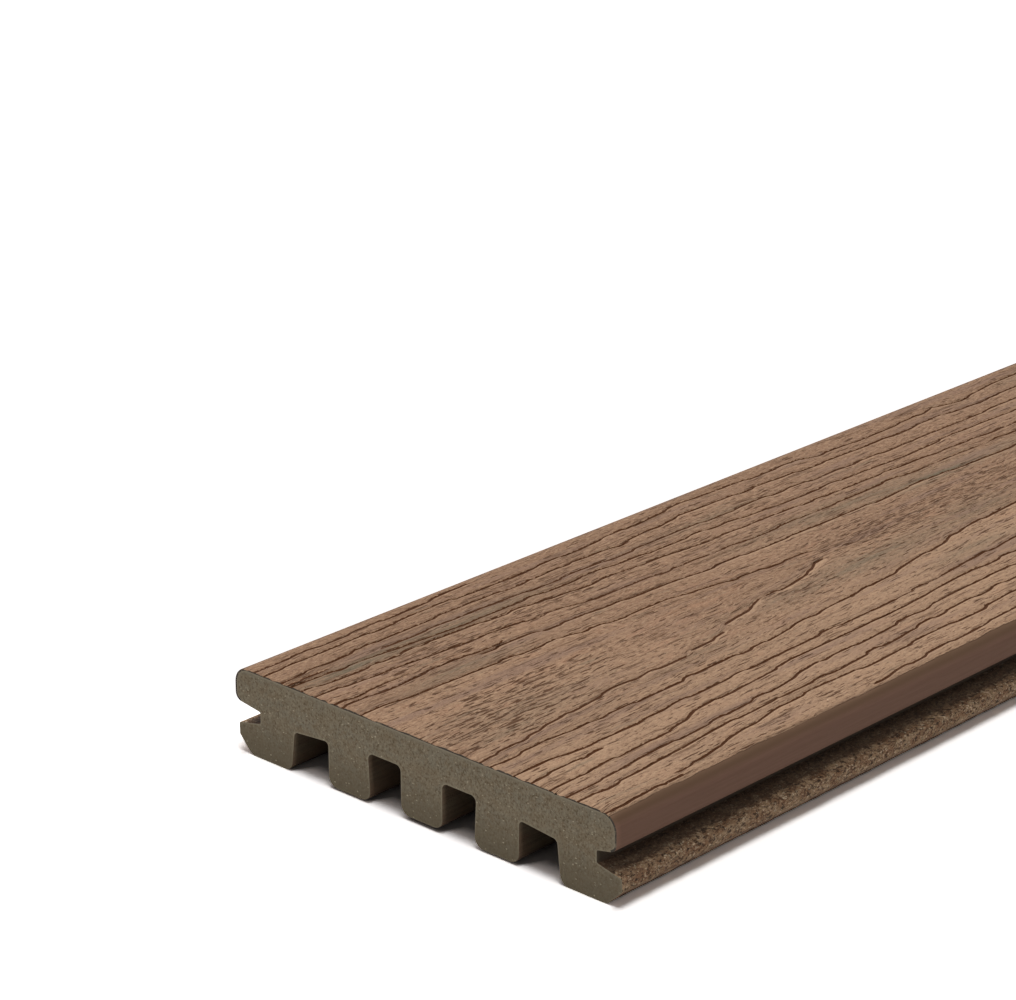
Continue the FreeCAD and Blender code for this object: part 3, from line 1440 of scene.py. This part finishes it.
    def map_grain(self, mesh: Mesh, rows: list[float], places: list[list[float]]) -> None:
        """Lays the grain map, half way between true places and places that follow the lines.

        Args:
            mesh: The mesh.
            rows: Its rows' distances from the front end.
            places: Its columns' places in each row.
        """
        layer = mesh.loops.layers.uv.new(GRAIN_MAP)
        drawn = [line for along, line in zip(rows, places) if along < self.grain.drawn_to]
        rest = [sum(column) / len(drawn) for column in zip(*drawn)]
        mesh.verts.index_update()
        for face in mesh.faces:
            for loop in face.loops:
                row, number = divmod(loop.vert.index, len(self.columns))
                across = (rest[number] + places[row][number]) / 2
                loop[layer].uv = (across / UV_MM, rows[row] / UV_MM)

    def close_end(self, mesh: Mesh, row: int, along: float) -> list[bmesh.types.BMEdge]:
        """Draws one end's sawn edge, down to the skin's inside.

        Args:
            mesh: The mesh.
            row: The end's row.
            along: The row's distance from the front end.

        Returns:
            The edges along the skin's inside.
        """
        mesh.verts.ensure_lookup_table()
        width = len(self.columns)
        line = [mesh.verts[row * width + number] for number in range(width)]
        edges = [edge for pair in zip(line, line[1:]) if (edge := mesh.edges.get(pair))]
        made = bmesh.ops.extrude_edge_only(mesh, edges=edges)["geom"]
        for item in made:
            if isinstance(item, bmesh.types.BMFace):
                item.material_index = 1
        inner = {item for item in made if isinstance(item, bmesh.types.BMVert)}
        for vertex in inner:
            gaps = [(point.co - vertex.co).length_squared for point in line]
            near = gaps.index(min(gaps))
            place = self.column_place(self.columns[near], along)
            across, height = SkinPath(self.section).point(place, self.section.skin)
            vertex.co = self.section.placed(across, along, height)
        new_edges = [item for item in made if isinstance(item, bmesh.types.BMEdge)]
        return [edge for edge in new_edges if inner.issuperset(edge.verts)]


@dataclass
class SawnCore:
    """The grey-olive core with its grooves, ribs and channels."""

    section: BoardSection
    near_length: float = 360.0
    near_cuts: int = 200
    far_cuts: int = 160
    lip_cuts: int = 4
    rim_width: float = 0.6
    roughness: float = 0.3
    corner_share: float = 0.97
    lip_start: float = 0.4
    lip_heights: Point = (0.05, 0.2)
    least_edge: float = 3.0
    wear_start: float = 1.5
    wear_floor: float = 0.2
    wear_mean: float = 0.45
    coarse_wear: Point = (0.7, 3.4)
    fine_wear: Point = (0.4, 1.5)

    def corners(self) -> list[Triple]:
        """Lists the corners of the core's section, round from the left upper lip.

        Returns:
            Distance across, height and radius of each corner.
        """
        board = self.section
        inside = board.half_top - board.skin
        top = board.thickness - board.skin
        radius = board.top_radius - board.skin
        corners = [(-inside, top, radius), (inside, top, radius), *self.lip_corners(1)]
        return corners + board.underside_corners() + self.lip_corners(-1)[::-1]

    def lip_corners(self, side: int) -> list[Triple]:
        """Lists the corners where the skin ends under an upper lip.

        Args:
            side: -1 for the left side and 1 for the right one.

        Returns:
            Distance across, height and radius of each corner.
        """
        board = self.section
        path = SkinPath(board)
        lip_end = side * path.lengths(side)[3]
        inner = path.point(lip_end, board.skin)
        radius = board.lip_radius - board.skin
        drop = board.lip_reach(side, radius) * math.sin(board.underside_slope(side))
        corner = (side * (board.half_top - board.skin), inner[1] + drop, radius * self.corner_share)
        return [corner, (*inner, 0.0), (*path.point(lip_end, 0.0), 0.0)]

    def is_lip(self, across: float, height: float) -> bool:
        """Tells whether a place, in millimetres, is on a milled lower lip.

        Args:
            across: Distance from the origin.
            height: Height above the floor.

        Returns:
            True on a lower lip.
        """
        board = self.section
        low, above_sill = self.lip_heights
        aside = abs(across - board.centre_shift - board.body_shift) - board.groove_half
        return aside > self.lip_start and low < height < board.groove_sill + above_sill

    def drawn_out(self, mesh: Mesh, face: Face, length: float, cuts: int) -> Face:
        """Pulls a face along the board and cuts the new sides crosswise.

        Args:
            mesh: The mesh.
            face: The face to pull.
            length: How far, in millimetres.
            cuts: How many crosswise cuts.

        Returns:
            The pulled face.
        """
        made = bmesh.ops.extrude_face_region(mesh, geom=[face])["geom"]
        far = [item for item in made if isinstance(item, bmesh.types.BMVert)]
        cap = next(item for item in made if isinstance(item, bmesh.types.BMFace))
        bmesh.ops.translate(mesh, vec=Vector((0, length * MM, 0)), verts=far)
        moved = set(far)
        edges = [edge for vertex in far for edge in vertex.link_edges]
        rungs = [edge for edge in edges if not moved.issuperset(edge.verts)]
        bmesh.ops.subdivide_edges(mesh, edges=rungs, cuts=cuts, use_grid_fill=True)
        return cap

    def build(self, materials: list[Material]) -> Piece:
        """Makes the core.

        Args:
            materials: The sawn, pressed and milled finishes.

        Returns:
            The piece.
        """
        mesh = bmesh.new()
        rim = mesh.verts.layers.float.new("rim")
        rounded_section(mesh, self.corners(), self.section)
        lip_edges = [
            edge for edge in mesh.edges
            if edge.calc_length() > self.least_edge * MM
            and all(self.is_lip(vertex.co.x / MM, vertex.co.z / MM) for vertex in edge.verts)
        ]
        bmesh.ops.subdivide_edges(mesh, edges=lip_edges, cuts=self.lip_cuts)
        mesh.faces.ensure_lookup_table()
        cap = self.drawn_out(mesh, mesh.faces[0], self.near_length, self.near_cuts)
        self.drawn_out(mesh, cap, self.section.length - self.near_length, self.far_cuts)
        bmesh.ops.recalc_face_normals(mesh, faces=mesh.faces)
        self.wear_lips(mesh)
        ends = [item for item in mesh.faces if abs(item.normal.y) > 0.9]
        # The rim attribute marks the end faces' outline, where the sawn finish paints a pale
        # highlight
        for vertex in {vertex for item in ends for vertex in item.verts}:
            vertex[rim] = 1.0
        inset = bmesh.ops.inset_region(
            mesh, faces=ends, thickness=self.rim_width * MM, use_even_offset=True
        )
        for vertex in {vertex for item in ends for vertex in item.verts}:
            vertex[rim] = 0.0
        end_faces = set(ends) | set(inset["faces"])
        for item in mesh.faces:
            item.smooth = item not in end_faces
            item.material_index = 0 if item in end_faces else self.finish_index(item)
        return finished_object("sawn_core", mesh, materials, "core")

    def finish_index(self, face: Face) -> int:
        """Chooses the milled finish for the lower lips and the pressed one elsewhere."""
        centre = face.calc_center_median() / MM
        return 2 if self.is_lip(centre.x, centre.z) else 1

    def wear_lips(self, mesh: Mesh) -> None:
        """Pulls the lower lips' surface in by an uneven bit, never out.

        Args:
            mesh: The core's mesh.
        """
        board = self.section
        middle = (board.centre_shift + board.body_shift) * MM
        for vertex in mesh.verts:
            across = vertex.co.x - middle
            outside = abs(across) >= (board.groove_half + self.wear_start) * MM
            if not outside or not self.wear_floor < vertex.co.z / MM < board.groove_sill:
                continue
            wear = self.wear_mean
            for share, size in (self.coarse_wear, self.fine_wear):
                wear += share * noise.noise(vertex.co / (size * MM))
            vertex.co.x -= math.copysign(self.roughness * max(0.0, wear) * MM, across)


class Aim(Enum):
    """What a lamp lights. Everything throws its shadow in any case."""

    BOARD = "EXCLUDE"
    FLOOR = "INCLUDE"


@dataclass(frozen=True)
class Sun:
    """A far lamp: which way it lies, its share of plain light on a flat top, its softness."""

    name: str
    towards: Triple
    share: float
    softness: float
    aim: Aim = Aim.BOARD

    def add(self, floor: Piece) -> None:
        """Hangs the lamp, aimed at the board only or at the floor only.

        Args:
            floor: The floor, which the lamp leaves out or lights alone.
        """
        data = bpy.data.lights.new(self.name, "SUN")
        way = Vector(self.towards).normalized()
        data.energy = self.share * math.pi / way.z
        data.angle = math.radians(self.softness)
        lamp = bpy.data.objects.new(self.name, data)
        lamp.rotation_euler = way.to_track_quat("Z", "Y").to_euler()
        bpy.context.scene.collection.objects.link(lamp)
        flagged = bpy.data.collections.new(self.name + "_flag")
        flagged.objects.link(floor)
        lamp.light_linking.receiver_collection = flagged
        flagged.collection_objects[0].light_linking.link_state = self.aim.value


@dataclass
class Studio:
    """Pale floor with painted shade under the board and painted light in its shadow, soft light and
    the photograph's camera.
    """

    section: BoardSection
    camera_place: Triple = (0.58198, -1.80725, 0.40333)
    azimuth: float = 43.10
    elevation: float = 20.64
    lens: float = 123.01
    sensor: float = 36.0
    suns: tuple[Sun, ...] = (
        Sun("key_left", (-1.0, 0.06, 1.0), 0.22, 18.0),
        Sun("top_left", (-0.27, 0.04, 1.0), 0.415, 6.0),
        Sun("fill_right", (1.0, -0.3, 1.6), 0.12, 25.0),
        Sun("fill_front", (0.0, -1.0, 0.3), 0.1, 40.0),
        Sun("floor_top", (0.17, 0.02, 1.0), 0.39, 30.0, Aim.FLOOR),
    )
    sky: float = 0.17
    sky_tint: Triple = (1.0, 0.92, 0.90)
    floor_size: float = 12.0
    floor_bounce: float = 0.8
    # Painted shade: the floor under the board throws back less light
    painted_shade_bounce: float = 0.3
    floor_seen: float = 1.95
    # Painted shade: the floor under the board, as the camera sees it
    painted_shade_floor: float = 0.6
    # Painted light: how far the board's shadow on the floor is lifted
    shadow_lift: float = 1.0
    # Where the painted shade under the board fades out, at its ends, channel mouths and sides
    outer_mouth: float = 42.0
    inner_mouth: float = 13.5
    mouth_edge: Point = (8.5, 4.0)
    end_edge: Point = (-1.5, 0.8)
    end_reach: Point = (-7.5, -2.8)
    side_edge: Point = (-3.5, -1.5)
    # Where the painted light lifts the shadow next to the feet and to the left of the board
    lift_reach: float = 3.5
    least_lift: float = 1.05
    left_edge: float = 5.0
    left_reach: Point = (35.0, 12.0)
    clipping: Point = (0.05, 50.0)

    def add_camera(self) -> None:
        """Puts the camera where the photograph was taken from."""
        data = bpy.data.cameras.new("camera")
        data.lens = self.lens
        data.sensor_width = self.sensor
        data.clip_start, data.clip_end = self.clipping
        camera = bpy.data.objects.new("camera", data)
        camera.location = self.camera_place
        camera.rotation_euler = (math.radians(90 - self.elevation), 0.0, math.radians(self.azimuth))
        bpy.context.scene.collection.objects.link(camera)
        bpy.context.scene.camera = camera

    def add_sky(self) -> None:
        """Adds an even sky, white where it is seen itself."""
        world = bpy.data.worlds.new("sky")
        world.use_nodes = True
        bench = NodeBench(world.node_tree)
        red, green, blue = (self.sky * part for part in self.sky_tint)
        colour = bench.blend(bench.seen_ray(), (red, green, blue), (1.0, 1.0, 1.0))
        bench.plug(colour, bench.tree.nodes["Background"].inputs["Color"])
        bpy.context.scene.world = world

    def beyond_board(self, bench: NodeBench) -> tuple[Socket, Socket]:
        """Tells the floor under the board from the floor round it.

        Args:
            bench: The floor material's workbench.

        Returns:
            0 under the board and 1 outside, for the light the floor throws back; and, for the
            camera, 0 under the board as painted shade, fading out at its ends, with painted light
            above 1 lifting the board's shadow next to it.
        """
        board = self.section
        x, y, _ = bench.parts(bench.coordinates((1.0, 1.0, 1.0)))
        aside = bench.body_aside(board)
        outer = bench.maths("ABSOLUTE", bench.maths("SUBTRACT", aside, self.outer_mouth))
        inner = bench.maths("ABSOLUTE", bench.maths("SUBTRACT", aside, self.inner_mouth))
        mouth = bench.band(bench.maths("MINIMUM", outer, inner), *self.mouth_edge)
        ahead = bench.maths("SUBTRACT", bench.maths("ABSOLUTE", y), board.length / 2)
        fade = [bench.scaled(mouth, *pair) for pair in zip(self.end_reach, self.end_edge)]
        foot = board.lower_lip_half - board.bevel_width
        open_side = bench.band(aside, *(foot + part for part in self.side_edge))
        near_end = abs(self.end_edge[0])
        # Painted shade: both masks are 0 where the floor under the board is drawn darker, the first
        # for the light it throws back and the second for the camera, which fades out at the ends,
        # from further inside at the channel mouths
        outside = bench.maths("MAXIMUM", bench.band(ahead, -near_end, near_end), open_side)
        clear = bench.maths("MAXIMUM", bench.band(ahead, *fade), open_side)
        # Painted light: brightens the shadow on the floor next to both outer feet, and the whole
        # floor a little
        painted_shadow_lift = bench.band(
            aside, foot + self.lift_reach, foot, self.least_lift, 1.0 + self.shadow_lift
        )
        # Painted light: lifts the shadow on the floor to the left of the board
        near_left = bench.band(x, -foot, -foot - self.left_edge)
        left = bench.times(near_left, bench.band(x, *(-foot - part for part in self.left_reach)))
        return outside, bench.times(clear, bench.scaled(left, self.shadow_lift, painted_shadow_lift))

    def floor_material(self) -> Material:
        """Makes the floor white as the camera sees it, with painted shade under the board and
        painted light in the board's shadow, and duller as it lights the board, darker still under
        it as painted shade.

        Returns:
            The material.
        """
        bench = MaterialBench("floor")
        bench.tree.nodes.remove(bench.shader)
        outside, painted_shade_and_light = self.beyond_board(bench)
        # The floor as the camera sees it: white round the board, with painted shade under it and
        # painted light in its shadow
        gain = self.floor_seen - self.painted_shade_floor
        half_seen = bench.scaled(painted_shade_and_light, gain / 2, self.painted_shade_floor / 2)
        seen = bench.add("AddShader", {0: bench.matte(half_seen), 1: bench.matte(half_seen)})
        # The floor as it lights the board, with painted shade under the board
        bounce = bench.scaled(outside, self.floor_bounce - self.painted_shade_bounce, self.painted_shade_bounce)
        shades = {"Fac": bench.seen_ray(), 1: bench.matte(bounce), 2: seen.outputs["Shader"]}
        choice = bench.add("MixShader", shades)
        bench.plug(choice.outputs["Shader"], bench.output.inputs["Surface"])
        return bench.material

    def add_floor(self) -> Piece:
        """Lays the floor under the board.

        Returns:
            The floor.
        """
        mesh = bmesh.new()
        bmesh.ops.create_grid(mesh, x_segments=1, y_segments=1, size=self.floor_size)
        data = bpy.data.meshes.new("floor")
        mesh.to_mesh(data)
        mesh.free()
        floor = bpy.data.objects.new("floor", data)
        floor.data.materials.append(self.floor_material())
        bpy.context.scene.collection.objects.link(floor)
        return floor

    def build(self) -> None:
        """Sets the stage."""
        bpy.context.scene.view_settings.view_transform = "Standard"
        self.add_camera()
        floor = self.add_floor()
        for sun in self.suns:
            sun.add(floor)
        self.add_sky()
        LOG.info("studio ready")


def main() -> None:
    """Builds the board's pieces and the studio."""
    logging.basicConfig(level=logging.INFO, format="%(message)s")
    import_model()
    section = BoardSection()
    skin = GrainedSkin(section, Grain())
    skin.build([SkinFinish().material(), CutSkinFinish().material()])
    core = SawnCore(section)
    pressed, milled = MouldedCoreFinish(section), TornLipFinish(section)
    core.build([SawnCoreFinish().material(), pressed.material(), milled.material()])
    Studio(section).build()


if __name__ == "__main__":
    main()
